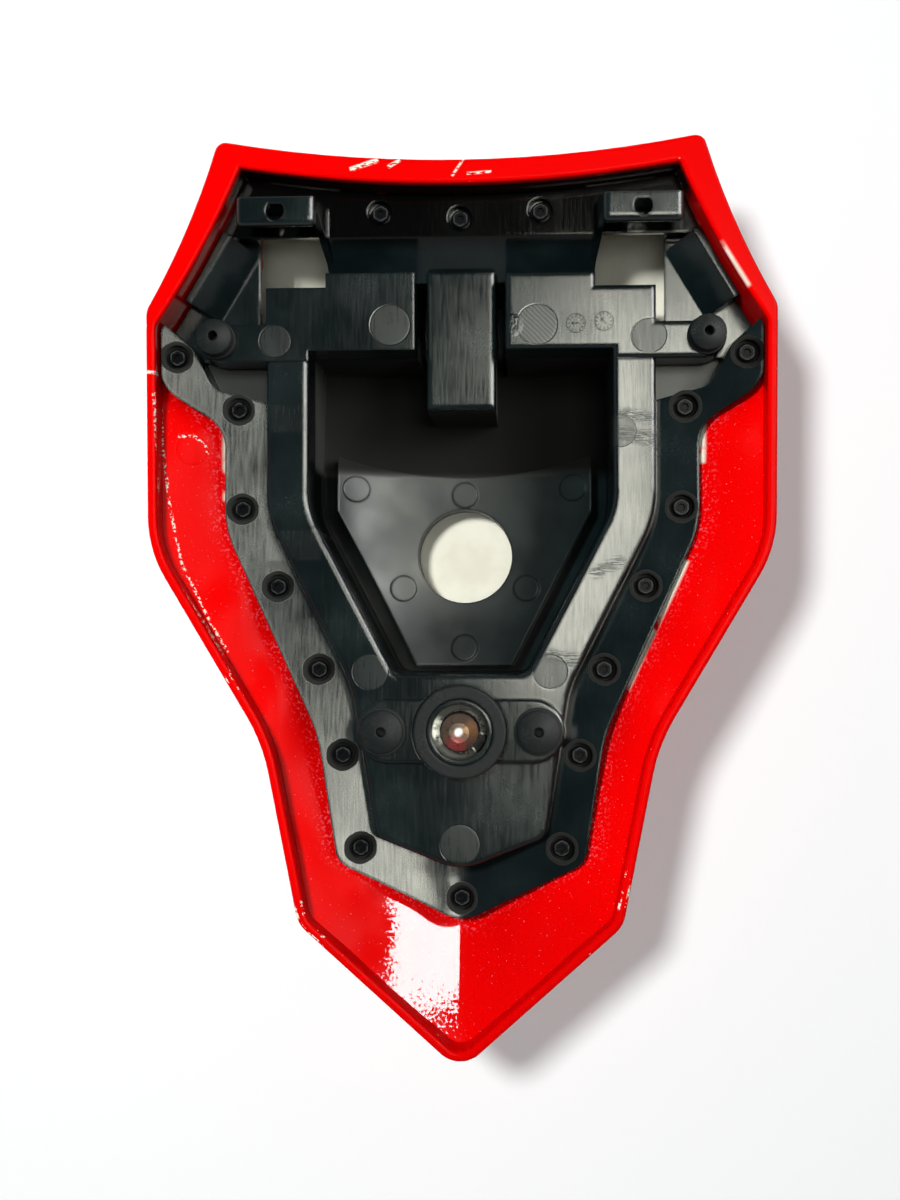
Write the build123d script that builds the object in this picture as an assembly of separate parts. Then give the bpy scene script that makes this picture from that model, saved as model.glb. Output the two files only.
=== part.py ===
from build123d import *
import math
import os

# Rim outline, right half, front towards +Y, underside up, millimetres
rim_height = 80.0
front_mid_y = 161.7
corner_x = 89.5
corner_y = 170.0
corner_radius = 4.0
shoulder_x = 116.2
shoulder_y = 107.0
shoulder_radius = 8.0
side_dip = 2.2
hip_x = 115.2
hip_y = 18.3
hip_radius = 45.0
waist_x = 72.5
waist_y = -53.1
waist_radius = 65.0
tail_x = 59.3
tail_y = -119.1
tail_radius = 12.0
tip_y = -171.9
tip_radius = 10.5

# Shell walls
shell_wall = 3.5
front_flare = 5.2
flare_corner_share = 1.2
flare_shoulder_share = 0.85
rim_round = 1.4

# Skin: wings that slope down to the middle, and the hump that falls below them
wing_edge = 67.0
wing_slope = 0.33
crest_radius_tail = 10.0
crest_radius_front = 50.0
crest_from_y = -120.0
crest_to_y = 20.0
brow_y = -5.0
brow_slope = 0.41
brow_soft = 6.0
hump_margin = 6.0
hump_front_half = 145.0
hump_widens_from_y = 55.0
hump_widens_to_y = 98.0
hump_power = 2.8
hump_soft = 6.0
outline_soft = 10.0
crown_floor_half = 16.0

# Stations on which the skin's formula is laid out
stock_half = 128.0
stock_front_y = 178.0
stock_back_y = -184.0
stock_top = 150.0
stations_along = 22
stations_across = 9
across_power = 1.2
slope_step = 0.5
pick_reach = 0.01

# Base: walls, clearances and outline, right half
base_wall = 2.6
seat_gap = 1.3
floor_gap = 1.0
edge_gap = 0.8
lobe_x = 112.2
lobe_y = 79.4
lobe_radius = 14.0
neck_x = 88.8
neck_y = 64.9
neck_radius = 14.0
base_hip_y = 26.5
base_hip_radius = 40.0
base_waist_x = 53.5
base_waist_y = -50.5
base_waist_radius = 60.0
base_tail_x = 46.0
base_tail_y = -98.0
base_tail_radius = 9.0
base_tip_y = -122.0
base_tip_radius = 15.0

# Ribs: outer edge of the Y and the pocket between its legs, right half
rib_top = 71.0
rib_crown = 1000.0
rib_x = 73.0
rib_hip_y = 31.0
rib_hip_radius = 40.0
rib_waist_x = 40.5
rib_waist_y = -33.0
rib_waist_radius = 40.0
rib_tail_x = 31.5
rib_tail_y = -88.5
rib_tail_radius = 5.0
rib_tip_y = -101.0
rib_tip_radius = 20.0
rib_round = 2.0
pocket_x = 57.0
pocket_hip_y = 33.5
pocket_hip_radius = 30.0
pocket_end_x = 24.8
pocket_end_y = -28.2
pocket_end_radius = 6.0

# Plateaus, arms, channel and centre bar at the front of the ribs
plateau_top = 70.0
plateau_front_y = 122.3
plateau_back_y = 93.3
arm_back_y = 89.5
arm_front_y = 103.4
channel_x = 17.0
bar_half = 13.2
bar_top = 57.0
bar_end_y = 72.8
lobe_cut_x = 100.5
lobe_cut_y = 94.1
side_pocket_x = 93.0
side_pocket_y = 79.2
side_pocket_drop = 4.5
side_pocket_radius = 7.0
side_floor_top = 52.0
lobe_cut_slope = 0.87

# Front strip, slope, windows, hooks and corner ramps
strip_top = 66.0
strip_back_y = 137.0
slope_foot_top = 52.0
window_inner_x = 50.5
window_outer_x = 77.3
window_back_y = 117.0
hook_top = 84.0
hook_outer_x = 82.0
hook_inner_x = 52.6
hook_front_y = 147.5
hook_back_y = 137.0
hook_thick = 3.0
hook_hole_radius = 3.4
hook_round = 2.0
hook_edge_round = 2.5
gusset_thick = 2.6
gusset_foot_share = 0.55
corner_floor_top = 57.0
ramp_top = 68.0
ramp_foot_x = 77.4
ramp_foot_y = 132.0
ramp_end_x = 92.7
ramp_end_y = 106.5

# Plate in the pocket
plate_rise = 12.0
plate_half = 50.4
plate_front_y = 58.0
plate_dip_y = 50.7
plate_shoulder_y = 36.0
plate_end_half = 19.0
plate_end_y = -25.5
plate_hole_radius = 19.0
plate_hole_y = 18.5
plate_disc_radius = 5.1
plate_disc_rise = 0.8
plate_discs = [(43.3, 45.3), (0.0, 43.3), (24.7, 5.4), (0.0, -18.5)]

# Screws that hold the base in the shell
screw_head_radius = 3.4
screw_head_height = 2.2
screw_chamfer = 0.5
screw_socket_radius = 1.4
screw_socket_depth = 1.3
screw_shank_radius = 1.5
screw_length = 5.5
screw_gap = 0.2
shank_gap = 0.05
seat_radius = 4.6
seat_wall = 1.5
seat_depth = 3.0
seat_floor = 2.0
post_radius = 3.6
flange_screws = [
    (106.2, 90.8),
    (84.0, 71.8),
    (82.5, 34.2),
    (69.2, 4.9),
    (53.6, -26.3),
    (44.4, -58.3),
    (37.6, -92.9),
    (0.0, -112.8),
]
strip_screws = [(30.2, 146.0), (0.0, 143.6)]

# Buffers
front_buffer_x = 91.5
front_buffer_y = 97.6
front_buffer_radius = 6.6
front_boss_radius = 7.6
front_buffer_height = 9.0
front_foot_radius = 7.2
front_foot_height = 1.2
rear_buffer_x = 28.9
rear_buffer_radius = 7.9
rear_buffer_height = 5.5
rear_foot_radius = 8.9
rear_foot_height = 1.5
buffer_hole_radius = 1.8
buffer_stem_radius = 2.9
buffer_barb_radius = 4.2
buffer_barb_height = 4.0
buffer_gap = 0.15
buffer_dome = 2.4
buffer_dome_mid = 0.6

# Lock pin, its tower, snap ring and buffer ring
lock_y = -49.0
lock_pad_half = 38.6
lock_pad_radius = 11.8
lock_pad_top = 74.0
pad_round = 1.2
tower_radius = 12.0
tower_top = 78.6
bore_radius = 10.2
bore_floor = 62.0
ring_radius = 17.1
ring_top = 79.0
ring_gap = 0.15
ring_round = 0.8
pin_radius = 7.1
pin_top = 83.0
pin_cone = 4.0
pin_tip_radius = 3.6
pin_neck_radius = 5.2
pin_neck_from = 68.8
pin_neck_to = 73.5
pin_flange_height = 4.0
pin_gap = 0.2
snap_thick = 1.2
snap_groove = 0.6
snap_gap = 0.1
snap_width = 2.2
snap_shift = 0.8
snap_ear_radius = 1.4
snap_hole_radius = 0.8
snap_turn = 32.0
snap_ear_turn = 22.0
snap_ear_lead = 8.0


def soft_min(a, b, soft):
    return 0.5 * (a + b - math.hypot(a - b, soft))


def soft_max(a, b, soft):
    return 0.5 * (a + b + math.hypot(a - b, soft))


def smooth_step(value, start, end):
    u = min(max((value - start) / (end - start), 0.0), 1.0)
    return u * u * (3.0 - 2.0 * u)


def on_line(start, end, y):
    return start[0] + (end[0] - start[0]) * (y - start[1]) / (end[1] - start[1])


def half_width(hip, waist, tail, tip, y):
    lower = soft_max(on_line(hip, waist, y), on_line(waist, tail, y), outline_soft)
    return soft_min(hip[0], soft_min(lower, on_line(tail, tip, y), outline_soft), outline_soft)


def rim_half(y):
    points = (hip_x, hip_y), (waist_x, waist_y), (tail_x, tail_y), (0.0, tip_y)
    return max(half_width(*points, y), 0.0)


def base_half(y):
    hip = neck_x, base_hip_y
    waist = base_waist_x, base_waist_y
    return half_width(hip, waist, (base_tail_x, base_tail_y), (0.0, base_tip_y), y)


def wing_height(x, y):
    share = smooth_step(y, crest_from_y, crest_to_y)
    radius = crest_radius_tail + (crest_radius_front - crest_radius_tail) * share
    return wing_edge - wing_slope * (math.hypot(rim_half(y), radius) - math.hypot(x, radius))


def skin_height(x, y):
    fall = brow_slope * (brow_y - y)
    crown = 0.5 * (fall + math.hypot(fall, brow_soft))
    depth = soft_max(wing_height(0.0, y) - crown, 0.0, hump_soft)
    foot = base_half(y) + hump_margin
    foot += (hump_front_half - foot) * smooth_step(y, hump_widens_from_y, hump_widens_to_y)
    share = min(abs(x) / max(foot, crown_floor_half), 1.0)
    return wing_height(x, y) - 0.5 * depth * (1.0 + math.cos(math.pi * share**hump_power))


def lifted(height, x, y, lift):
    slope_x = (height(x + slope_step, y) - height(x - slope_step, y)) / (2.0 * slope_step)
    slope_y = (height(x, y + slope_step) - height(x, y - slope_step)) / (2.0 * slope_step)
    return height(x, y) + lift * math.hypot(1.0, slope_x, slope_y)


def above(height, lift):
    across = [stock_half * (i / stations_across) ** across_power for i in range(stations_across + 1)]
    across = [-x for x in reversed(across[1:])] + across
    places = [0.5 + x / (2.0 * stock_half) for x in across]
    sections = []
    for j in range(stations_along + 1):
        y = stock_back_y + (stock_front_y - stock_back_y) * j / stations_along
        points = [Vector(x, y, lifted(height, x, y, lift)) for x in across]
        top = [points[-1], (stock_half, y, stock_top), (-stock_half, y, stock_top), points[0]]
        straight = [Edge.make_line(a, b) for a, b in zip(top, top[1:])]
        sections.append(Wire([Edge.make_spline(points, parameters=places)] + straight))
    return Solid.make_loft(sections)


def rounded(face, x, y, radius):
    near = [v for v in face.vertices() if math.hypot(abs(v.X) - x, v.Y - y) < pick_reach]
    return fillet(near, radius)


def half_loop(right):
    return right + [(-x, y) for x, y in reversed(right) if x > 0.0]


def prism(face, low, high):
    return Pos(0.0, 0.0, low) * extrude(face, high - low)


def block(x0, x1, y0, y1, z0, z1):
    return Pos((x0 + x1) / 2, (y0 + y1) / 2, (z0 + z1) / 2) * Box(x1 - x0, y1 - y0, z1 - z0)


def edges_at(shape, height):
    return shape.edges().filter_by_position(Axis.Z, height - pick_reach, height + pick_reach)


def post(x, y, radius, low, high):
    return Pos(x, y, (low + high) / 2) * Cylinder(radius, high - low)


def mirrored_places(places):
    return places + [(-x, y) for x, y in places if x > 0.0]


def rim_face(flare):
    corner = corner_x - flare_corner_share * flare, corner_y - flare_corner_share * flare
    shoulder = shoulder_x, shoulder_y - flare_shoulder_share * flare
    dip = (corner[0] + shoulder[0]) / 2 - side_dip, (corner[1] + shoulder[1]) / 2
    loop = half_loop([corner, shoulder, (hip_x, hip_y), (waist_x, waist_y), (tail_x, tail_y), (0.0, tip_y)])
    lines = [Line(a, b) for a, b in zip(loop[1:-1], loop[2:-1])]
    lines.append(ThreePointArc(loop[0], dip, loop[1]))
    lines.append(ThreePointArc(loop[-2], (-dip[0], dip[1]), loop[-1]))
    lines.append(ThreePointArc(loop[-1], (0.0, front_mid_y - flare), loop[0]))
    face = make_face(lines)
    face = rounded(face, *corner, corner_radius)
    face = rounded(face, *shoulder, shoulder_radius)
    face = rounded(face, hip_x, hip_y, hip_radius)
    face = rounded(face, waist_x, waist_y, waist_radius)
    face = rounded(face, tail_x, tail_y, tail_radius)
    return rounded(face, 0.0, tip_y, tip_radius)


def base_face(wall_face):
    right = [
        (lobe_x, corner_y),
        (lobe_x, lobe_y),
        (neck_x, neck_y),
        (neck_x, base_hip_y),
        (base_waist_x, base_waist_y),
        (base_tail_x, base_tail_y),
        (0.0, base_tip_y),
    ]
    face = make_face(Polyline(*half_loop(right), close=True))
    face = rounded(face, lobe_x, lobe_y, lobe_radius)
    face = rounded(face, neck_x, neck_y, neck_radius)
    face = rounded(face, neck_x, base_hip_y, base_hip_radius)
    face = rounded(face, base_waist_x, base_waist_y, base_waist_radius)
    face = rounded(face, base_tail_x, base_tail_y, base_tail_radius)
    face = rounded(face, 0.0, base_tip_y, base_tip_radius)
    return face & offset(wall_face, -shell_wall - edge_gap)


def rib_face():
    right = [
        (rib_x, window_back_y),
        (rib_x, rib_hip_y),
        (rib_waist_x, rib_waist_y),
        (rib_tail_x, rib_tail_y),
        (0.0, rib_tip_y),
    ]
    face = make_face(Polyline(*half_loop(right), close=True))
    face = rounded(face, rib_x, rib_hip_y, rib_hip_radius)
    face = rounded(face, rib_waist_x, rib_waist_y, rib_waist_radius)
    face = rounded(face, rib_tail_x, rib_tail_y, rib_tail_radius)
    return rounded(face, 0.0, rib_tip_y, rib_tip_radius)


def pocket_face():
    right = [(pocket_x, plateau_back_y), (pocket_x, pocket_hip_y), (pocket_end_x, pocket_end_y)]
    face = make_face(Polyline(*half_loop(right), close=True))
    face = rounded(face, pocket_x, pocket_hip_y, pocket_hip_radius)
    face = rounded(face, pocket_end_x, pocket_end_y, pocket_end_radius)
    channel = Pos(0.0, (plateau_back_y + plateau_front_y) / 2) * Rectangle(
        2 * channel_x, plateau_front_y - plateau_back_y
    )
    return face + channel


def plate_face():
    right = [(plate_half, plate_front_y), (plate_half, plate_shoulder_y), (plate_end_half, plate_end_y)]
    loop = half_loop(right)
    lines = [Line(a, b) for a, b in zip(loop, loop[1:])]
    lines.append(ThreePointArc(loop[-1], (0.0, plate_dip_y), loop[0]))
    return make_face(lines)


def flange_top(x, y):
    return lifted(wing_height, x, y, shell_wall + seat_gap + base_wall)


def screw_seats(places):
    return [(x, y, flange_top(x, y) - seat_depth) for x, y in mirrored_places(places)]


def strip_seats(places):
    return [(x, y, strip_top - seat_depth) for x, y in mirrored_places(places)]


def make_shell(wall_face):
    hull = prism(wall_face, -stock_top, rim_height) & above(skin_height, 0.0)
    flare = prism(rim_face(0.0), rim_height - shell_wall, rim_height)
    flare &= block(-stock_half, stock_half, shoulder_y - front_flare, stock_front_y, 0.0, stock_top)
    cavity = prism(offset(wall_face, -shell_wall), -stock_top, stock_top) & above(skin_height, shell_wall)
    shell = hull + flare - cavity
    shell = fillet(edges_at(shell, rim_height), rim_round)

    # Screw posts that stand on the skin, the front ones braced against the wall
    columns = [post(x, y, post_radius, 0.0, seat - seat_floor) for x, y, seat in flange_seats + front_seats]
    web_half = post_radius / 2
    wall_y = front_mid_y - front_flare - shell_wall / 2
    for x, y, seat in front_seats:
        columns.append(block(x - web_half, x + web_half, y, wall_y, 0.0, seat - seat_floor))
    pilot_depth = screw_length + screw_gap
    pilots = []
    for x, y, seat in flange_seats + front_seats:
        pilots.append(post(x, y, screw_shank_radius, seat - pilot_depth, stock_top))
    return shell + ((Part() + columns) & above(skin_height, shell_wall / 2)) - pilots


def make_ribs():
    across = 4 * stock_half
    pocket = pocket_face()
    whole = rib_face() - pocket
    behind = Pos(0.0, arm_back_y - across / 2) * Rectangle(across, across)
    rear = whole & behind
    front = whole - behind
    nose_x = (channel_x + window_inner_x) / 2
    nose = Rectangle(window_inner_x - channel_x, plateau_front_y - plateau_back_y)
    arm = Rectangle(front_buffer_x, arm_front_y - arm_back_y)
    for side in (1, -1):
        front += Pos(side * nose_x, (plateau_front_y + plateau_back_y) / 2) * nose
        front += Pos(side * front_buffer_x / 2, (arm_front_y + arm_back_y) / 2) * arm
        front += Pos(side * front_buffer_x, front_buffer_y) * Circle(front_boss_radius)
    front -= pocket
    axis = Pos(0.0, 0.0, rib_top - rib_crown) * Rot(90.0, 0.0, 0.0)
    ribs = prism(rear, 0.0, stock_top) & axis * Cylinder(rib_crown, across)
    top = ribs.faces().sort_by(Axis.Z)[-1]
    ribs = fillet([e for e in top.edges() if e.center().Y < arm_back_y - rib_round], rib_round)
    plateaus = prism(front, 0.0, plateau_top)
    plateaus = fillet(plateaus.faces().sort_by(Axis.Z)[-1].edges(), rib_round)
    rib_hollow = prism(offset(rear, -base_wall), -base_wall, stock_top)
    rib_hollow &= axis * Cylinder(rib_crown - base_wall, across)
    plateau_hollow = prism(offset(front, -base_wall), -base_wall, plateau_top - base_wall)
    return [ribs, plateaus], [rib_hollow, plateau_hollow]


def along_x(points, x0, x1):
    face = make_face(Polyline(*[(0.0, y, z) for y, z in points], close=True))
    return Pos(x0, 0.0, 0.0) * extrude(face, x1 - x0, dir=(1.0, 0.0, 0.0))


def make_front_sheet():
    far_y = stock_front_y
    sheet = [
        (plateau_front_y, 0.0),
        (plateau_front_y, slope_foot_top),
        (strip_back_y, strip_top),
        (far_y, strip_top),
        (far_y, strip_top - base_wall),
        (strip_back_y + base_wall / 2, strip_top - base_wall),
        (plateau_front_y + base_wall, slope_foot_top - base_wall / 2),
        (plateau_front_y + base_wall, 0.0),
    ]
    strip = block(-stock_half, stock_half, strip_back_y, far_y, strip_top - base_wall, strip_top)
    return [along_x(sheet, -window_inner_x, window_inner_x), strip]


def make_hook():
    foot_y = strip_back_y - (strip_back_y - plateau_front_y) * gusset_foot_share
    foot_z = strip_top - (strip_top - slope_foot_top) * gusset_foot_share
    cheek = along_x(
        [
            (plateau_front_y, 0.0),
            (plateau_front_y, slope_foot_top),
            (foot_y, foot_z),
            (hook_front_y - base_wall, hook_top),
            (hook_front_y, hook_top),
            (hook_front_y, 0.0),
        ],
        0.0,
        stock_half,
    )

    # The cheek leans outwards from the window's edge to the shelf
    low_x = window_inner_x - gusset_thick
    lean = make_face(
        Polyline(
            (low_x, 0.0, 0.0),
            (low_x, 0.0, slope_foot_top),
            (hook_inner_x, 0.0, hook_top - hook_edge_round),
            (hook_inner_x, 0.0, hook_top),
            (hook_inner_x + gusset_thick, 0.0, hook_top),
            (window_inner_x, 0.0, slope_foot_top),
            (window_inner_x, 0.0, 0.0),
            close=True,
        )
    )
    lean = extrude(lean, hook_front_y - plateau_front_y, dir=(0.0, 1.0, 0.0))
    cheek &= Pos(0.0, plateau_front_y, 0.0) * lean
    low = hook_top - hook_thick
    shelf = block(hook_inner_x, hook_outer_x, hook_back_y, hook_front_y, low, hook_top)
    shelf = fillet(shelf.edges().filter_by(Axis.Z).sort_by(Axis.Y)[:2], hook_round)
    hole_x = (hook_inner_x + hook_outer_x) / 2
    shelf -= post(hole_x, (hook_back_y + hook_front_y) / 2, hook_hole_radius, low, hook_top)
    back_y = hook_front_y - base_wall
    back = block(hook_inner_x, hook_outer_x, back_y, hook_front_y, strip_top - base_wall, hook_top)
    hook = Part() + [cheek, shelf, back]
    inner_edges = edges_at(hook, hook_top).filter_by(Axis.Y).sort_by(Axis.X)[:1]
    return [fillet(inner_edges, hook_edge_round)]


def make_corner():
    low = corner_floor_top - base_wall
    wall_y = strip_back_y + base_wall
    floors = [
        block(window_outer_x, stock_half, arm_front_y - base_wall, wall_y, low, corner_floor_top),
        block(front_buffer_x, stock_half, lobe_cut_y - base_wall, arm_front_y, low, corner_floor_top),
        block(window_outer_x, stock_half, strip_back_y, wall_y, low, strip_top),
    ]
    pocket_from_y = side_pocket_y - 2 * base_wall
    pocket_to_y = arm_back_y + base_wall
    side_low = side_floor_top - base_wall
    floors.append(block(rib_x - base_wall, lobe_cut_x, pocket_from_y, pocket_to_y, side_low, side_floor_top))

    # Ramp that leans outwards and up against the shell, closed at its end
    run = Vector(ramp_end_x - ramp_foot_x, ramp_end_y - ramp_foot_y, 0.0)
    plane = Plane((ramp_foot_x, ramp_foot_y, 0.0), x_dir=(-run.Y, run.X, 0.0), z_dir=run)
    rise = ramp_top - corner_floor_top
    top = [(0.0, corner_floor_top), (rise, ramp_top), (stock_half, ramp_top)]
    under = [(x + base_wall / 2, z - base_wall) for x, z in reversed(top)]
    ramp = extrude(plane * make_face(Polyline(*top, *under, close=True)), run.length)
    wedge = make_face(Polyline(*top, (stock_half, low), (0.0, low), close=True))
    end_plane = plane.offset(run.length - base_wall)
    return floors + [ramp, extrude(end_plane * wedge, base_wall)]


def seat_cuts(seats):
    cuts = []
    for x, y, seat in seats:
        cuts.append(post(x, y, seat_radius, seat, stock_top))
        cuts.append(post(x, y, screw_shank_radius + screw_gap, 0.0, stock_top))
        cuts.append(post(x, y, post_radius + screw_gap, 0.0, seat - seat_floor))
    return cuts


def make_flange(outline, skin):
    right = [
        (stock_half, stock_front_y),
        (stock_half, lobe_cut_y + (stock_half - lobe_cut_x) * lobe_cut_slope),
        (lobe_cut_x, lobe_cut_y),
        (side_pocket_x, side_pocket_y),
        (rib_x, side_pocket_y - side_pocket_drop),
    ]
    opening = make_face(Polyline(*half_loop(right), close=True))
    opening = rounded(opening, lobe_cut_x, lobe_cut_y, side_pocket_radius)
    opening = rounded(opening, side_pocket_x, side_pocket_y, side_pocket_radius)
    inside_ribs = offset(rib_face(), -base_wall)
    ring = prism(outline - opening - inside_ribs, 0.0, stock_top)
    ring &= above(wing_height, shell_wall + seat_gap)
    skirt_face = outline - offset(outline, -base_wall) - opening
    collar_face = ((offset(opening, base_wall) - opening) & outline) - inside_ribs
    cups = [post(x, y, seat_radius + seat_wall, seat - seat_floor, rim_height) for x, y, seat in flange_seats]
    cups = (Part() + cups) & prism(outline, 0.0, stock_top) & skin
    walls = prism(skirt_face + collar_face, 0.0, stock_top) & skin
    flange = (ring + [walls, cups]) - above(wing_height, shell_wall + seat_gap + base_wall)
    return flange - seat_cuts(flange_seats)


def make_pocket():
    lift = shell_wall + floor_gap + base_wall
    floor = prism(offset(pocket_face(), base_wall / 2, kind=Kind.INTERSECTION), 0.0, rim_height)
    plate = prism(plate_face(), 0.0, rim_height)
    discs = [post(x, y, plate_disc_radius, 0.0, rim_height) for x, y in mirrored_places(plate_discs)]
    return [
        floor - above(skin_height, lift),
        plate - above(skin_height, lift + plate_rise),
        (Part() + discs) - above(skin_height, lift + plate_rise + plate_disc_rise),
    ]


def plate_hollow():
    inside = prism(offset(plate_face(), -base_wall), 0.0, rim_height)
    inside -= post(0.0, plate_hole_y, plate_hole_radius + base_wall, 0.0, rim_height)
    return inside - above(skin_height, shell_wall + floor_gap + plate_rise)


def make_raised():
    ribs, hollows = make_ribs()
    pad_face = Pos(0.0, lock_y) * SlotOverall(2 * lock_pad_half, 2 * lock_pad_radius)
    pad = prism(pad_face, bore_floor, lock_pad_top)
    pad = fillet(edges_at(pad, lock_pad_top), pad_round)
    hollows.append(prism(offset(pad_face, -base_wall), 0.0, lock_pad_top - base_wall))
    hollows.append(post(0.0, lock_y, ring_radius + ring_gap, ring_seat(), stock_top))
    raised = Part() + ribs + [pad] - hollows

    # Tower with the bore for the pin and the groove for its snap ring
    tower = post(0.0, lock_y, tower_radius, bore_floor - base_wall, tower_top)
    bores = [
        post(0.0, lock_y, bore_radius, bore_floor, stock_top),
        post(0.0, lock_y, bore_radius + snap_groove, snap_seat(), snap_seat() + snap_thick + snap_gap),
    ]
    for x, y, z in buffer_seats():
        bores.append(post(x, y, buffer_stem_radius + buffer_gap, z - 2 * base_wall, z))
    return raised + tower - bores


def make_base(wall_face):
    outline = base_face(wall_face)

    # Front, hooks and corners, cut to the outline
    half = Part() + make_hook() + make_corner()
    front = half + [mirror(half, about=Plane.YZ)] + make_front_sheet()
    front &= prism(outline, 0.0, stock_top)
    cup_radius = seat_radius + seat_wall
    front += [post(x, y, cup_radius, seat - seat_floor, strip_top) for x, y, seat in front_seats]
    front -= seat_cuts(front_seats)

    # Centre bar, hollow from below, and the round hole in the plate
    bar = block(-bar_half, bar_half, bar_end_y, plateau_front_y + base_wall, 0.0, bar_top)
    bar = fillet(edges_at(bar, bar_top).sort_by(Axis.Y)[:3], rib_round)
    bar_inner = bar_half - base_wall
    cuts = [
        block(-bar_inner, bar_inner, bar_end_y + base_wall, plateau_front_y, 0.0, bar_top - base_wall),
        post(0.0, plate_hole_y, plate_hole_radius, 0.0, bar_top - base_wall),
        plate_hollow(),
    ]

    # Room for the shell's screw posts in the floors beside them
    clear_radius = post_radius + floor_gap
    cuts += [post(x, y, clear_radius, 0.0, seat - seat_floor) for x, y, seat in flange_seats]

    # All but the flange, whose ring lies above it, are cut to the skin
    skin = above(skin_height, shell_wall + floor_gap)
    rest = [make_raised(), front, bar] + make_pocket()
    return make_flange(outline, skin) + [piece & skin for piece in rest] - cuts


def ring_seat():
    return rib_top - rib_crown + math.sqrt(rib_crown**2 - ring_radius**2) - ring_gap


def snap_seat():
    return bore_floor + pin_flange_height + pin_gap


def buffer_seats():
    front = [(side * front_buffer_x, front_buffer_y, plateau_top) for side in (1, -1)]
    rear = [(side * rear_buffer_x, lock_y, lock_pad_top) for side in (1, -1)]
    return front + rear


def make_screw(x, y, seat):
    head = post(x, y, screw_head_radius, seat, seat + screw_head_height)
    head = chamfer(edges_at(head, seat + screw_head_height), screw_chamfer)
    socket = RegularPolygon(screw_socket_radius, 6)
    head -= Pos(x, y, seat + screw_head_height - screw_socket_depth) * extrude(socket, screw_socket_depth)
    return head + post(x, y, screw_shank_radius - shank_gap, seat - screw_length, seat)


def make_buffer(x, y, seat, radius, height, foot_radius, foot_height):
    neck = seat - base_wall - buffer_gap
    outline = [
        (0.0, neck - buffer_barb_height),
        (buffer_stem_radius, neck - buffer_barb_height),
        (buffer_barb_radius, neck),
        (buffer_stem_radius, neck),
        (buffer_stem_radius, seat),
        (foot_radius, seat),
        (foot_radius, seat + foot_height),
        (radius, seat + foot_height),
        (radius, seat + height - buffer_dome),
    ]
    lines = [Line((a[0], 0.0, a[1]), (b[0], 0.0, b[1])) for a, b in zip(outline, outline[1:])]
    dome_end = (0.0, 0.0, seat + height)
    mid = (radius * buffer_dome_mid, 0.0, seat + height - buffer_dome * buffer_dome_mid**2)
    lines.append(ThreePointArc((radius, 0.0, seat + height - buffer_dome), mid, dome_end))
    lines.append(Line(dome_end, (0.0, 0.0, neck - buffer_barb_height)))
    shape = Pos(x, y, 0.0) * revolve(make_face(lines), Axis.Z)
    return shape - post(x, y, buffer_hole_radius, seat, seat + height + base_wall)


def make_pin():
    foot = bore_floor
    flange = foot + pin_flange_height
    outline = [
        (0.0, foot),
        (bore_radius - pin_gap, foot),
        (bore_radius - pin_gap, flange),
        (pin_radius, flange),
        (pin_radius, pin_neck_from),
        (pin_neck_radius, pin_neck_from + pin_radius - pin_neck_radius),
        (pin_neck_radius, pin_neck_to),
        (pin_radius, pin_neck_to),
        (pin_radius, pin_top - pin_cone),
        (pin_tip_radius, pin_top),
        (0.0, pin_top),
    ]
    face = make_face(Polyline(*[(x, 0.0, z) for x, z in outline], close=True))
    return Pos(0.0, lock_y, 0.0) * revolve(face, Axis.Z)


def make_snap_ring():
    outer = bore_radius + snap_groove - ring_gap
    inner = bore_radius - snap_width
    gap_end = Vector(2 * outer, 0.0).rotate(Axis.Z, snap_ear_turn)
    gap = Polyline((0.0, 0.0), (gap_end.X, gap_end.Y), (gap_end.X, -gap_end.Y), close=True)
    ring = Circle(outer) - Pos(snap_shift, 0.0) * Circle(inner + snap_shift / 2) - make_face(gap)
    ear_reach = bore_radius - snap_ear_radius - ring_gap
    for side in (1, -1):
        place = Rot(0.0, 0.0, side * (snap_ear_turn + snap_ear_lead)) * Pos(ear_reach, 0.0)
        ring += place * Circle(snap_ear_radius)
        ring -= place * Circle(snap_hole_radius)
    ring = Rot(0.0, 0.0, -snap_turn) * ring
    return Pos(0.0, lock_y, snap_seat() + snap_gap / 2) * extrude(ring, snap_thick)


def make_buffer_ring():
    ring = post(0.0, lock_y, ring_radius, ring_seat(), ring_top)
    ring -= post(0.0, lock_y, tower_radius + ring_gap, 0.0, stock_top)
    return fillet(edges_at(ring, ring_top), ring_round)


wall_face = rim_face(front_flare)
flange_seats = screw_seats(flange_screws)
front_seats = strip_seats(strip_screws)
front_right, front_left, rear_right, rear_left = buffer_seats()
front_size = front_buffer_radius, front_buffer_height, front_foot_radius, front_foot_height
rear_size = rear_buffer_radius, rear_buffer_height, rear_foot_radius, rear_foot_height
parts = {
    "outer_shell": make_shell(wall_face),
    "inner_base": make_base(wall_face),
    "cover_screws": Compound([make_screw(*seat) for seat in flange_seats + front_seats]),
    "front_buffer_left": make_buffer(*front_left, *front_size),
    "front_buffer_right": make_buffer(*front_right, *front_size),
    "rear_buffer_left": make_buffer(*rear_left, *rear_size),
    "rear_buffer_right": make_buffer(*rear_right, *rear_size),
    "lock_pin": make_pin(),
    "retaining_ring": make_snap_ring(),
    "lock_buffer_ring": make_buffer_ring(),
}

# Origin on the floor under the middle of the shell
box = parts["outer_shell"].bounding_box()
home = Pos(0.0, -box.center().Y, -box.min.Z)
os.makedirs("parts", exist_ok=True)
for name, shape in parts.items():
    export_step(home * shape, "parts/" + name + ".step")
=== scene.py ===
import math

import bmesh
import bpy
from mathutils import Matrix, Vector


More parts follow.
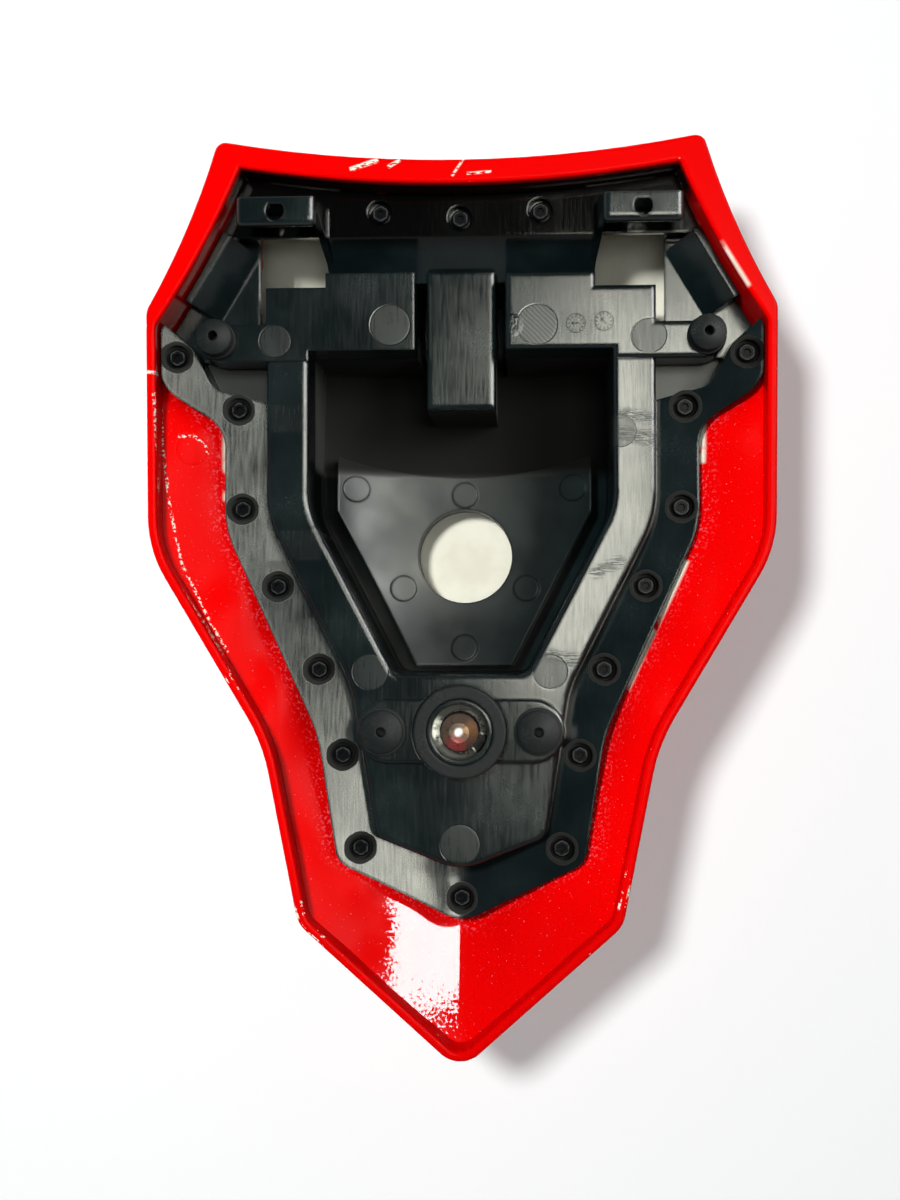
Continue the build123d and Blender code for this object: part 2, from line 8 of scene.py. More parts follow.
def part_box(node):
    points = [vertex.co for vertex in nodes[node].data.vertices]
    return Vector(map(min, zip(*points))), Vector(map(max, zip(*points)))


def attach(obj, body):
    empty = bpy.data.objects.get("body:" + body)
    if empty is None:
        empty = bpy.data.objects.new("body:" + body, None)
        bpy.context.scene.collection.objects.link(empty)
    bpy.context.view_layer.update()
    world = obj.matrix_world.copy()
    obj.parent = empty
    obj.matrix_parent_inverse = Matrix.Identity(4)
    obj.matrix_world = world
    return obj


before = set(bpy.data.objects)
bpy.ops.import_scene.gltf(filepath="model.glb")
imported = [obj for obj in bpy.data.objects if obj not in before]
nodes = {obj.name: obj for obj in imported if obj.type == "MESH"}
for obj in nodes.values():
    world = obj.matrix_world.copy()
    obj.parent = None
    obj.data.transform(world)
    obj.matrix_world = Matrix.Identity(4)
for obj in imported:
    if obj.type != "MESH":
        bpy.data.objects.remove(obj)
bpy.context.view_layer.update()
print("frame loaded with", len(nodes), "nodes")


# Node helpers


def addNode(tree, kind, inputs=None, **settings):
    node = tree.nodes.new(kind)
    for key, value in settings.items():
        setattr(node, key, value)
    for key, value in (inputs or {}).items():
        if isinstance(value, bpy.types.NodeSocket):
            tree.links.new(value, node.inputs[key])
        else:
            node.inputs[key].default_value = value
    return node


def calc(tree, operation, first, second=0.0, clamp=False):
    node = addNode(tree, "ShaderNodeMath", {0: first, 1: second}, operation=operation, use_clamp=clamp)
    return node.outputs[0]


def chain(tree, operation, parts):
    total = parts[0]
    for part in parts[1:]:
        total = calc(tree, operation, total, part)
    return total


def addUp(tree, *parts):
    return chain(tree, "ADD", parts)


def times(tree, *parts):
    return chain(tree, "MULTIPLY", parts)


def strongest(tree, *parts):
    return chain(tree, "MAXIMUM", parts)


def weighted(tree, fields, weights):
    return addUp(tree, *[times(tree, fields[name], weight) for name, weight in weights.items()])


def step(tree, value, low, high, start=0.0, end=1.0):
    node = addNode(
        tree,
        "ShaderNodeMapRange",
        {"Value": value, "From Min": low, "From Max": high, "To Min": start, "To Max": end},
        interpolation_type="SMOOTHSTEP",
    )
    return node.outputs[0]


# 0 before the limits and 1 after them, and the other way round
def above(tree, value, limits):
    return step(tree, value, *limits)


def below(tree, value, limits):
    return step(tree, value, *limits, 1.0, 0.0)


def mixColour(tree, share, first, second):
    node = addNode(tree, "ShaderNodeMix", {0: share, 6: first, 7: second}, data_type="RGBA")
    return node.outputs[2]


def grain(tree, coords, scale, detail, stretch=None, rough=0.5):
    if stretch:
        coords = addNode(tree, "ShaderNodeMapping", {"Vector": coords, "Scale": stretch}).outputs[0]
    node = addNode(
        tree, "ShaderNodeTexNoise", {"Vector": coords, "Scale": scale, "Detail": detail, "Roughness": rough}
    )
    return node.outputs[0]


# a grain made to swing round zero
def sway(tree, value, amount):
    return times(tree, calc(tree, "SUBTRACT", value, 0.5), amount)


def readCoords(tree):
    return addNode(tree, "ShaderNodeTexCoord").outputs["Object"]


def splitUp(tree, vector):
    return addNode(tree, "ShaderNodeSeparateXYZ", {0: vector}).outputs


def flatten(tree, coords):
    place = splitUp(tree, coords)
    return addNode(tree, "ShaderNodeCombineXYZ", {0: place[0], 1: place[1]}).outputs[0]


def distanceTo(tree, flat, x, y):
    node = addNode(tree, "ShaderNodeVectorMath", {0: flat, 1: (x, y, 0.0)}, operation="DISTANCE")
    return node.outputs["Value"]


def disc(tree, flat, x, y, radius, soft):
    return below(tree, distanceTo(tree, flat, x, y), (radius - soft, radius + soft))


# a thin line at a radius, fading to both sides
def lineAt(tree, away, radius, width):
    off = calc(tree, "ABSOLUTE", calc(tree, "SUBTRACT", away, radius))
    return below(tree, off, (0.0, width))


def ringLine(tree, flat, x, y, radius, width):
    return lineAt(tree, distanceTo(tree, flat, x, y), radius, width)


def strip(tree, flat, start, end, width, soft):
    middle = ((start[0] + end[0]) / 2, (start[1] + end[1]) / 2, 0.0)
    turn = math.atan2(end[1] - start[1], end[0] - start[0])
    local = addNode(
        tree,
        "ShaderNodeMapping",
        {"Vector": flat, "Location": middle, "Rotation": (0.0, 0.0, turn)},
        vector_type="TEXTURE",
    )
    sides = []
    for socket, size in zip(splitUp(tree, local.outputs[0]), (math.dist(start, end), width)):
        off = calc(tree, "ABSOLUTE", socket)
        sides.append(below(tree, off, (size / 2 - soft, size / 2 + soft)))
    return times(tree, *sides)


def strips(tree, flat, places, soft):
    return strongest(tree, *[strip(tree, flat, *place, soft) for place in places])


def roundedNormal(tree, height, strength, distance, edge):
    bevel = addNode(tree, "ShaderNodeBevel", {"Radius": edge}, samples=4)
    bump = addNode(
        tree,
        "ShaderNodeBump",
        {"Strength": strength, "Distance": distance, "Height": height, "Normal": bevel.outputs[0]},
    )
    return bump.outputs[0]


def newMaterial(name):
    material = bpy.data.materials.new(name)
    material.use_nodes = True
    tree = material.node_tree
    return material, tree, tree.nodes["Principled BSDF"]


def setShader(tree, shader, **sockets):
    for name, value in sockets.items():
        socket = shader.inputs[name.replace("_", " ")]
        if isinstance(value, bpy.types.NodeSocket):
            tree.links.new(value, socket)
        else:
            socket.default_value = value


def dress(node, material):
    nodes[node].data.materials.clear()
    nodes[node].data.materials.append(material)


# Red lacquer over the cream shell

lacquer = {
    "red": (0.84, 0.0005, 0.0006, 1.0),
    "shadedRed": (0.6, 0.0004, 0.0006, 1.0),
    "shade": (0.012, 0.0035, 0.0035, 1.0),
    "cream": (0.95, 0.94, 0.79, 1.0),
    "oldCream": (0.86, 0.84, 0.69, 1.0),
    "mist": (0.92, 0.2, 0.26, 1.0),
    "roughness": 0.24,
    "sprayRough": 0.16,
    "wornAndGlintRough": 0.25,
    "specular": 0.015,
    "coat": 0.5,
    "coatRoughness": 0.08,
    "coatIor": 1.5,
    "bump": (0.25, 0.00012),  # strength, distance
    "edge": 0.0006,
    # grains: scale, detail, stretch
    "speckle": (900.0, 2.0),
    "blotch": (70.0, 4.0),
    "peel": (320.0, 2.0),
    "rareSpecks": (1300.0, 1.0),
    "streak": (500.0, 3.0, (1.0, 3.0, 1.0)),
    "chipGrain": (380.0, 4.0, None, 0.65),
    # how far a face looks up or to the front
    "facingUp": (0.02, 0.08),
    "notDown": (-0.06, -0.02),
    "steep": (0.2, 0.75),
    "facingBack": (-0.4, -0.15),
    # the rim starts at this height
    "rimFoot": (0.074, 0.077),
    # half width of the bare inside, from the tip to the front
    "bareEdge": [
        (-0.122, 0.0), (-0.098, 0.042), (-0.05, 0.0495), (0.0265, 0.0845), (0.062, 0.0855),
        (0.082, 0.104), (0.1, 0.102), (0.118, 0.09), (0.136, 0.082),
    ],
    "bareEnds": (-0.16, 0.16),
    "bareReach": 0.12,
    "bareRag": 0.006,
    "bareSoft": (-0.0004, 0.0008),
    "bareTail": (-0.12, -0.116),
    "bareFront": (0.147, 0.149),
    # the bare floor reaches further forward than the bare upper part
    "bareFloor": 0.012,
    "bareFloorTop": (0.042, 0.046),
    "creamGrain": (0.35, 0.7),
    # slim bare places beside the base: start, end, width
    "bareStrips": [
        ((-0.0896, 0.0638), (-0.0893, 0.0372), 0.0022),
        ((0.0902, 0.0661), (0.09, 0.0504), 0.003),
        ((0.0842, 0.0139), (0.0616, -0.0346), 0.0024),
        ((0.0955, 0.1296), (0.1057, 0.1129), 0.0012),
    ],
    "bareStripSoft": 0.0008,
    "bareStripGrain": (0.36, 0.46),
    # scratches on the lip: start, end, width
    "scratches": [
        ((-0.0401, 0.1578), (-0.0297, 0.1611), 0.0017),
        ((-0.026, 0.1585), (-0.0216, 0.161), 0.0013),
        ((-0.0024, 0.1548), (0.002, 0.1613), 0.0008),
        ((0.003, 0.1556), (0.012, 0.1562), 0.0009),
        ((-0.1165, 0.0836), (-0.1099, 0.0831), 0.0011),
    ],
    "scratchGrain": (0.42, 0.5),
    # painted highlights: broken bright lines along the rim's inner edge on the left wing and round an ejector
    # mark: start, end, width
    "glintLines": [
        ((-0.1131, 0.0761), (-0.1119, 0.0561), 0.0009),
        ((-0.1119, 0.0561), (-0.1092, 0.0336), 0.0009),
        ((-0.1092, 0.0336), (-0.1046, 0.0123), 0.0009),
        ((-0.1046, 0.0123), (-0.094, -0.009), 0.0009),
        ((-0.094, -0.009), (-0.0872, -0.0202), 0.0009),
        ((-0.1062, 0.061), (-0.1001, 0.061), 0.0009),
        ((-0.1001, 0.061), (-0.0962, 0.0572), 0.0009),
        ((-0.0962, 0.0572), (-0.0958, 0.0545), 0.0009),
    ],
    "glintGrain": (0.5, 0.58),
    "lineSoft": 0.0003,
    # chips on the rim's rounded edges, and the lengths that are chipped most
    "chipped": [
        ((-0.0605, -0.1115), (-0.05, -0.126), 0.009),
        ((0.0635, -0.1), (0.0575, -0.1165), 0.007),
        ((-0.088, -0.018), (-0.078, -0.037), 0.006),
    ],
    "chippedSoft": 0.003,
    "chipLimit": 0.7,
    "chipMore": 0.16,
    "chipSoft": (0.0, 0.03),
    "chipHeight": (0.0772, 0.0778),
    "roundFrom": (0.3, 0.5),
    "roundTo": (0.93, 0.985),
    # painted shade: deeper red on the steep faces of the groove inside the rim and at the tail
    "grooveTop": (0.076, 0.079),
    "grooveShare": 0.8,
    "tailShadeLimits": (-0.13, -0.1),
    "tailShadeShare": 0.45,
    # overspray beside the base, and rare specks further out
    "mistReach": (-0.013, -0.001),
    "mistTail": (-0.13, -0.12),
    "mistGrain": (0.53, 0.68),
    "mistShare": 0.7,
    "rareGrain": (0.72, 0.78),
    "rareShare": 0.5,
    # painted shade: near-black colour on the inner front wall behind the front strip
    "wallFrom": (0.126, 0.134),
    "wallTop": (0.0745, 0.078),
    "wallHalf": (0.084, 0.088),
    # round marks of the ejector pins under the paint: x, y, radius
    "ejectors": [(-0.1012, 0.0561, 0.006), (0.1065, 0.0575, 0.006), (-0.0013, -0.145, 0.0067)],
    "ringWidth": 0.0007,
    "rises": {"peel": 0.5, "spray": 0.5, "wornAndGlints": -0.6, "rings": -1.6},
    # polished, nearly flat left half of the tail's inside
    "polishedLeft": (-0.0282, -0.0242),
    "polishedRight": (-0.0012, -0.0006),
    "polishedFront": (-0.109, -0.103),
    "polishedRag": 0.02,
    "polishedGrain": (0.2, 0.34),
    "polishedFade": (-0.168, -0.138),
    "fadeShare": 0.4,
    "flatNormal": (0.4017, 0.3314, 0.8536),
    "flatness": 0.8,
}


def readShell(tree):
    coords = readCoords(tree)
    x, y, z = splitUp(tree, coords)
    normal = addNode(tree, "ShaderNodeNewGeometry").outputs["Normal"]
    facing = splitUp(tree, normal)
    facingUp = above(tree, facing[2], lacquer["facingUp"])
    return {
        "coords": coords,
        "flat": flatten(tree, coords),
        "x": x,
        "y": y,
        "z": z,
        "normal": normal,
        "forward": facing[1],
        "up": facing[2],
        "facingUp": facingUp,
        # the painted inside, below the rim
        "wings": times(tree, facingUp, below(tree, z, lacquer["rimFoot"])),
        "speckle": grain(tree, coords, *lacquer["speckle"]),
        "blotch": grain(tree, coords, *lacquer["blotch"]),
    }


# depth inside the edge of the paint, read from a curve along the length
def depthInside(tree, shell):
    low, high = lacquer["bareEnds"]
    reach = lacquer["bareReach"]
    along = addNode(tree, "ShaderNodeMapRange", {"Value": shell["y"], "From Min": low, "From Max": high})
    curve = addNode(tree, "ShaderNodeFloatCurve", {"Value": along.outputs[0]})
    points = curve.mapping.curves[0].points
    frontHalf = lacquer["bareEdge"][-1][1]
    shape = [(low, 0.0)] + lacquer["bareEdge"] + [(high, frontHalf)]
    for index, (y, half) in enumerate(shape):
        spot = ((y - low) / (high - low), half / reach)
        if index == 0:
            points[0].location = spot
        elif index == len(shape) - 1:
            points[-1].location = spot
        else:
            points.new(*spot)
    for point in points:
        point.handle_type = "VECTOR"
    curve.mapping.update()
    edge = times(tree, curve.outputs[0], reach)
    return calc(tree, "SUBTRACT", edge, calc(tree, "ABSOLUTE", shell["x"]))


def bareInside(tree, shell, inside):
    ragged = addUp(tree, inside, sway(tree, shell["blotch"], lacquer["bareRag"]))
    further = step(tree, shell["z"], *lacquer["bareFloorTop"], lacquer["bareFloor"], 0.0)
    return times(
        tree,
        above(tree, ragged, lacquer["bareSoft"]),
        above(tree, shell["up"], lacquer["notDown"]),
        above(tree, shell["y"], lacquer["bareTail"]),
        below(tree, calc(tree, "SUBTRACT", shell["y"], further), lacquer["bareFront"]),
    )


def rimChips(tree, shell):
    most = strips(tree, shell["flat"], lacquer["chipped"], lacquer["chippedSoft"])
    limit = calc(tree, "SUBTRACT", lacquer["chipLimit"], times(tree, most, lacquer["chipMore"]))
    chips = calc(tree, "SUBTRACT", grain(tree, shell["coords"], *lacquer["chipGrain"]), limit)
    return times(
        tree,
        above(tree, chips, lacquer["chipSoft"]),
        above(tree, shell["up"], lacquer["roundFrom"]),
        below(tree, shell["up"], lacquer["roundTo"]),
        above(tree, shell["z"], lacquer["chipHeight"]),
    )


# real bare plastic, chips and scratches, together with painted highlight lines
def wornThroughAndGlints(tree, shell, inside):
    flat = shell["flat"]
    slim = times(
        tree,
        strips(tree, flat, lacquer["bareStrips"], lacquer["bareStripSoft"]),
        above(tree, shell["blotch"], lacquer["bareStripGrain"]),
        shell["facingUp"],
    )
    scratches = times(
        tree,
        strips(tree, flat, lacquer["scratches"], lacquer["lineSoft"]),
        above(tree, grain(tree, shell["coords"], *lacquer["streak"]), lacquer["scratchGrain"]),
        above(tree, shell["z"], lacquer["rimFoot"]),
    )
    # painted highlights: these bright lines are drawn as bare cream
    glints = times(
        tree,
        strips(tree, flat, lacquer["glintLines"], lacquer["lineSoft"]),
        above(tree, shell["speckle"], lacquer["glintGrain"]),
        shell["facingUp"],
    )
    return strongest(tree, bareInside(tree, shell, inside), slim, rimChips(tree, shell), scratches, glints)


def shellColour(tree, shell, inside, wornAndGlints):
    # painted shade: steep faces low in the groove, and the tail, are mixed towards a deeper red
    shadedGroove = times(
        tree,
        below(tree, shell["up"], lacquer["steep"]),
        below(tree, shell["z"], lacquer["grooveTop"]),
        lacquer["grooveShare"],
    )
    shadedTail = times(tree, below(tree, shell["y"], lacquer["tailShadeLimits"]), lacquer["tailShadeShare"])
    paintAndShade = mixColour(tree, strongest(tree, shadedGroove, shadedTail), lacquer["red"], lacquer["shadedRed"])

    mist = times(
        tree,
        above(tree, inside, lacquer["mistReach"]),
        shell["wings"],
        above(tree, shell["y"], lacquer["mistTail"]),
        above(tree, shell["speckle"], lacquer["mistGrain"]),
        lacquer["mistShare"],
    )
    rare = above(tree, grain(tree, shell["coords"], *lacquer["rareSpecks"]), lacquer["rareGrain"])
    rare = times(tree, rare, shell["wings"], lacquer["rareShare"])
    paintAndShade = mixColour(tree, strongest(tree, mist, rare), paintAndShade, lacquer["mist"])

    # painted shade: the inner front wall, where it faces back, is coloured near black
    shadedWall = times(
        tree,
        below(tree, shell["forward"], lacquer["facingBack"]),
        above(tree, shell["y"], lacquer["wallFrom"]),
        below(tree, shell["z"], lacquer["wallTop"]),
        below(tree, calc(tree, "ABSOLUTE", shell["x"]), lacquer["wallHalf"]),
    )
    paintAndShade = mixColour(tree, shadedWall, paintAndShade, lacquer["shade"])
    aged = above(tree, shell["blotch"], lacquer["creamGrain"])
    return mixColour(tree, wornAndGlints, paintAndShade, mixColour(tree, aged, lacquer["cream"], lacquer["oldCream"]))


def shellHeight(tree, shell, wornAndGlints):
    rings = [ringLine(tree, shell["flat"], *place, lacquer["ringWidth"]) for place in lacquer["ejectors"]]
    fields = {
        "peel": grain(tree, shell["coords"], *lacquer["peel"]),
        "spray": times(tree, shell["wings"], shell["speckle"]),
        "wornAndGlints": wornAndGlints,
        "rings": times(tree, strongest(tree, *rings), shell["wings"]),
    }
    return weighted(tree, fields, lacquer["rises"])


# the polish ends in specks on the left and fades to the tip
def tailPolish(tree, shell):
    ragged = addUp(tree, shell["x"], sway(tree, shell["speckle"], lacquer["polishedRag"]))
    fade = times(tree, below(tree, shell["y"], lacquer["polishedFade"]), lacquer["fadeShare"])
    return times(
        tree,
        above(tree, ragged, lacquer["polishedLeft"]),
        shell["wings"],
        below(tree, shell["y"], lacquer["polishedFront"]),
        above(tree, calc(tree, "SUBTRACT", shell["speckle"], fade), lacquer["polishedGrain"]),
        below(tree, shell["x"], lacquer["polishedRight"]),
    )


def makeLacquer():
    material, tree, shader = newMaterial("redLacquer")
    shell = readShell(tree)
    inside = depthInside(tree, shell)
    wornAndGlints = wornThroughAndGlints(tree, shell, inside)
    # overspray and bare plastic are rougher than the lip
    rough = addUp(
        tree,
        lacquer["roughness"],
        times(tree, shell["wings"], shell["speckle"], lacquer["sprayRough"]),
        times(tree, wornAndGlints, lacquer["wornAndGlintRough"]),
    )
    # the clear coat lies on the outside and on the polished tail
    polish = tailPolish(tree, shell)
    outside = times(tree, calc(tree, "SUBTRACT", 1.0, shell["facingUp"]), lacquer["coat"])
    coatNormal = addNode(
        tree,
        "ShaderNodeMix",
        {0: times(tree, polish, lacquer["flatness"]), 4: shell["normal"], 5: lacquer["flatNormal"]},
        data_type="VECTOR",
    ).outputs[1]
    setShader(
        tree,
        shader,
        Base_Color=shellColour(tree, shell, inside, wornAndGlints),
        Roughness=rough,
        Normal=roundedNormal(tree, shellHeight(tree, shell, wornAndGlints), *lacquer["bump"], lacquer["edge"]),
        Coat_Weight=strongest(tree, outside, polish),
        Coat_IOR=lacquer["coatIor"],
        Coat_Normal=addNode(tree, "ShaderNodeVectorMath", {0: coatNormal}, operation="NORMALIZE").outputs[0],
        Coat_Roughness=lacquer["coatRoughness"],
        Specular_IOR_Level=lacquer["specular"],
    )
    return material


dress("outer_shell", makeLacquer())
print("shell lacquer done")


# Screw places, read from the screws themselves

headDepth = 0.003  # what lies this near a screw's top is its head


def findMiddles(mesh):
    bm = bmesh.new()
    bm.from_mesh(mesh)
    left = set(bm.verts)
    middles = []
    while left:
        found = [left.pop()]
        for vert in found:
            for edge in vert.link_edges:
                other = edge.other_vert(vert)
                if other in left:
                    left.remove(other)
                    found.append(other)
        top = max(vert.co.z for vert in found)
        head = [vert.co for vert in found if vert.co.z > top - headDepth]
        middles.append([(min(co[i] for co in head) + max(co[i] for co in head)) / 2 for i in (0, 1)])
    bm.free()
    return middles


def nearestScrew(tree, flat):
    return chain(tree, "MINIMUM", [distanceTo(tree, flat, x, y) for x, y in screwMiddles])


screwMiddles = findMiddles(nodes["cover_screws"].data)
print("screws found", len(screwMiddles))


# Black moulded base

moulding = {
    "black": (0.0038, 0.0074, 0.008, 1.0),
    "grey": (0.0072, 0.0135, 0.0142, 1.0),
    "recessShade": (0.0009, 0.0011, 0.001, 1.0),
    "dust": (0.07, 0.075, 0.07, 1.0),
    "roughness": 0.18,
    "leastRough": 0.08,
    "specular": 0.42,
    "bump": (0.5, 0.00012),  # strength, distance
    "edge": 0.0013,
    # grains: scale, detail, stretch
    "cloud": (45.0, 5.0),
    "fine": (1400.0, 2.0),
    "drawn": (260.0, 3.0, (5.0, 0.35, 1.0)),
    "cross": (420.0, 3.0, (0.5, 4.0, 1.0)),
    "lumpGrain": (900.0, 3.0),
    "greyGrain": (0.35, 0.7),
    "dustCloud": (0.5, 0.75),
    "dustGrain": (0.55, 0.75),
    # the cups round the screws are matt, with painted shade, up to this radius
    "cup": (0.0046, 0.0052),
    "cupRough": 0.9,
    # the pocket's deep front is matt, with painted shade: height, from y, to y
    "pocketTop": (0.045, 0.058),
    "pocketBack": (0.046, 0.054),
    "pocketFront": (0.098, 0.104),
    # the strip at the front is glossy, with painted shade
    "stripFrom": (0.131, 0.137),
    "stripTop": (0.071, 0.075),
    "stripShine": 0.5,
    # the low plate is patchy: least roughness and what the cloud adds
    "plateTop": (0.03, 0.04),
    "plateRough": (0.22, 0.5),
    # flat round marks of the ejector pins: x, y, radius
    "ejectors": [
        (-0.0695, 0.0965, 0.006), (0.0702, 0.0973, 0.0064), (-0.0262, 0.1021, 0.0075),
        (0.0287, 0.1018, 0.0075), (0.0594, 0.0621, 0.006), (-0.0336, -0.0277, 0.0066),
        (0.0332, -0.0277, 0.0063), (-0.0002, -0.0916, 0.0074),
    ],
    "discSoft": 0.0004,
    "ringWidth": 0.0005,
    "hatched": (0.0287, 0.1018, 0.0075),
    "hatch": {"Scale": 330.0, "Distortion": 1.5, "Detail": 2.0},
    "lump": (0.0194, 0.1016, 0.0036),
    "lumpSoft": 0.001,
    # scuffed bands on the right leg: start, end, width
    "scuffs": [
        ((0.0576, 0.0614), (0.0742, 0.0583), 0.005),
        ((0.0587, 0.0688), (0.0724, 0.0665), 0.0036),
        ((0.0482, 0.0082), (0.0611, 0.0138), 0.004),
        ((0.0314, -0.0214), (0.0443, -0.024), 0.004),
    ],
    "scuffSoft": 0.002,
    "scuffGrain": (0.44, 0.6),
    # duller bands across the left leg
    "bands": [
        ((-0.0735, 0.0675), (-0.0545, 0.0675), 0.0105),
        ((-0.0735, 0.02), (-0.052, 0.0195), 0.0113),
    ],
    "bandSoft": 0.0007,
    # what each mark adds to the dust, the roughness and the height
    "dustShares": {"dusty": 0.12, "scuffs": 0.12, "hatch": 0.8, "discs": 0.06},
    "roughShares": {"scuffs": 0.12, "bands": 0.09, "discs": 0.12},
    "cloudSway": 0.2,
    "drawnSway": 0.22,
    "rises": {
        "fine": 0.12, "drawn": 0.16, "scuffs": -0.5, "discs": -0.4, "rings": -0.6, "hatch": 0.35, "lump": 6.0,
    },
}


def readMarks(tree, coords):
    flat = flatten(tree, coords)
    cloud = grain(tree, coords, *moulding["cloud"])
    fine = grain(tree, coords, *moulding["fine"])
    cross = grain(tree, coords, *moulding["cross"])
    scuffs = strips(tree, flat, moulding["scuffs"], moulding["scuffSoft"])
    discs = [disc(tree, flat, *place, moulding["discSoft"]) for place in moulding["ejectors"]]
    rings = [ringLine(tree, flat, *place, moulding["ringWidth"]) for place in moulding["ejectors"]]
    hatch = addNode(
        tree, "ShaderNodeTexWave", {"Vector": coords, **moulding["hatch"]}, bands_direction="DIAGONAL"
    ).outputs[1]
    lump = disc(tree, flat, *moulding["lump"], moulding["lumpSoft"])
    return {
        "cloud": cloud,
        "fine": fine,
        "drawn": grain(tree, coords, *moulding["drawn"]),
        "dusty": times(
            tree, above(tree, cloud, moulding["dustCloud"]), above(tree, fine, moulding["dustGrain"])
        ),
        "scuffs": times(tree, scuffs, above(tree, cross, moulding["scuffGrain"])),
        "bands": strips(tree, flat, moulding["bands"], moulding["bandSoft"]),
        "discs": strongest(tree, *discs),
        "rings": strongest(tree, *rings),
        "hatch": times(tree, disc(tree, flat, *moulding["hatched"], moulding["discSoft"]), hatch),
        "lump": times(tree, lump, grain(tree, coords, *moulding["lumpGrain"])),
        "cups": below(tree, nearestScrew(tree, flat), moulding["cup"]),
    }


def makeMoulding():
    material, tree, shader = newMaterial("blackMoulding")
    coords = readCoords(tree)
    _, y, z = splitUp(tree, coords)
    marks = readMarks(tree, coords)
    shadedPocket = times(
        tree,
        below(tree, z, moulding["pocketTop"]),
        above(tree, y, moulding["pocketBack"]),
        below(tree, y, moulding["pocketFront"]),
    )
    shadedStrip = times(tree, above(tree, y, moulding["stripFrom"]), below(tree, z, moulding["stripTop"]))

    greyed = above(tree, marks["cloud"], moulding["greyGrain"])
    colour = mixColour(tree, greyed, moulding["black"], moulding["grey"])
    colour = mixColour(tree, weighted(tree, marks, moulding["dustShares"]), colour, moulding["dust"])
    # painted shade: the pocket, the front strip and the screw cups are coloured near black
    colour = mixColour(tree, strongest(tree, shadedPocket, shadedStrip, marks["cups"]), colour, moulding["recessShade"])

    rough = addUp(
        tree,
        moulding["roughness"],
        sway(tree, marks["cloud"], moulding["cloudSway"]),
        sway(tree, marks["drawn"], moulding["drawnSway"]),
        weighted(tree, marks, moulding["roughShares"]),
    )
    least, more = moulding["plateRough"]
    patchy = addUp(tree, least, times(tree, marks["cloud"], more))
    plate = times(tree, below(tree, z, moulding["plateTop"]), patchy)
    shine = calc(tree, "SUBTRACT", 1.0, times(tree, shadedStrip, moulding["stripShine"]))
    rough = times(tree, strongest(tree, rough, plate, moulding["leastRough"]), shine)
    cups = times(tree, marks["cups"], calc(tree, "SUBTRACT", moulding["cupRough"], shadedStrip))
    height = weighted(tree, marks, moulding["rises"])
    setShader(
        tree,
        shader,
        Base_Color=colour,
        Roughness=strongest(tree, rough, shadedPocket, cups),
        Normal=roundedNormal(tree, height, *moulding["bump"], moulding["edge"]),
        Specular_IOR_Level=moulding["specular"],
    )
    return material


blackMoulding = makeMoulding()
dress("inner_base", blackMoulding)
print("base moulding done")


# Two moulded dials with a pointer on the right plateau

dials = {
    "places": [(0.0432, 0.102), (0.0536, 0.1027)],
    "turns": [180.0, 135.0],  # degrees
    "top": 0.0701,
    "radius": 0.0037,
    "rim": 0.00035,
    "rise": 0.0002,
    "roundSteps": 40,
    "ticks": 12,
    # shares of the radius: distance from the middle, length, width
    "tick": (0.74, 0.2, 0.1),
    "shaft": (0.0, 0.8, 0.12),
    "barb": (0.3, 0.32, 0.1),
    "barbAside": 0.1,
    "barbTurn": 0.75,  # radians
}


def addBlock(bm, shares, matrix):
    away, length, width = [share * dials["radius"] for share in shares]
    made = bmesh.ops.create_cube(bm, size=1.0)["verts"]
    bmesh.ops.scale(bm, vec=(length, width, 2 * dials["rise"]), verts=made)
    bmesh.ops.transform(bm, matrix=matrix @ Matrix.Translation((away, 0.0, 0.0)), verts=made)


def makeDial(name, x, y, turn):
    bm = bmesh.new()
    outer = dials["radius"]
    inner = outer - dials["rim"]
    low, high = -dials["rise"], dials["rise"]
    # the raised rim is a small square turned round the middle
    corners = [(inner, low), (outer, low), (outer, high), (inner, high)]
    verts = [bm.verts.new((across, 0.0, up)) for across, up in corners]
    loop = [bm.edges.new((verts[i], verts[(i + 1) % 4])) for i in range(4)]
    bmesh.ops.spin(
        bm,
        geom=verts + loop,
        cent=(0, 0, 0),
        axis=(0, 0, 1),
        angle=math.tau,
        steps=dials["roundSteps"],
        use_merge=True,
    )
    for index in range(dials["ticks"]):
        addBlock(bm, dials["tick"], Matrix.Rotation(math.tau * index / dials["ticks"], 4, "Z"))
    # plain arrow
    aim = Matrix.Rotation(math.radians(turn), 4, "Z")
    addBlock(bm, dials["shaft"], aim)
    away, length, width = dials["barb"]
    for side in (-1.0, 1.0):
        spot = Matrix.Translation((away * outer, side * dials["barbAside"] * outer, 0.0))
        slant = Matrix.Rotation(-side * dials["barbTurn"], 4, "Z")
        addBlock(bm, (0.0, length, width), aim @ spot @ slant)
    bmesh.ops.translate(bm, vec=(x, y, dials["top"]), verts=bm.verts)
    bmesh.ops.recalc_face_normals(bm, faces=bm.faces)
    mesh = bpy.data.meshes.new(name)
    bm.to_mesh(mesh)
    bm.free()
    piece = bpy.data.objects.new(name, mesh)
    bpy.context.scene.collection.objects.link(piece)
    mesh.materials.append(blackMoulding)
    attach(piece, "root")


for index, (x, y) in enumerate(dials["places"]):
    makeDial("mould_dial_%d" % (index + 1), x, y, dials["turns"][index])
print("dials done")


# Black socket screws

screwFinish = {
    "black": (0.0035, 0.004, 0.0045, 1.0),
    "wornAndGlints": (0.055, 0.058, 0.058, 1.0),
    "roughness": 0.34,
    "roughSway": 0.3,
    "specular": 0.04,
    "bump": (0.2, 0.0001),  # strength, distance
    "edge": 0.0003,
    "mottle": (500.0, 4.0),  # scale, detail
    # painted highlights: bright rings, drawn as wear, round the socket and near the head's edge
    "rings": [0.0014, 0.0028],
    "ringWidth": 0.0004,
    "ringGrain": (0.3, 0.6),
}


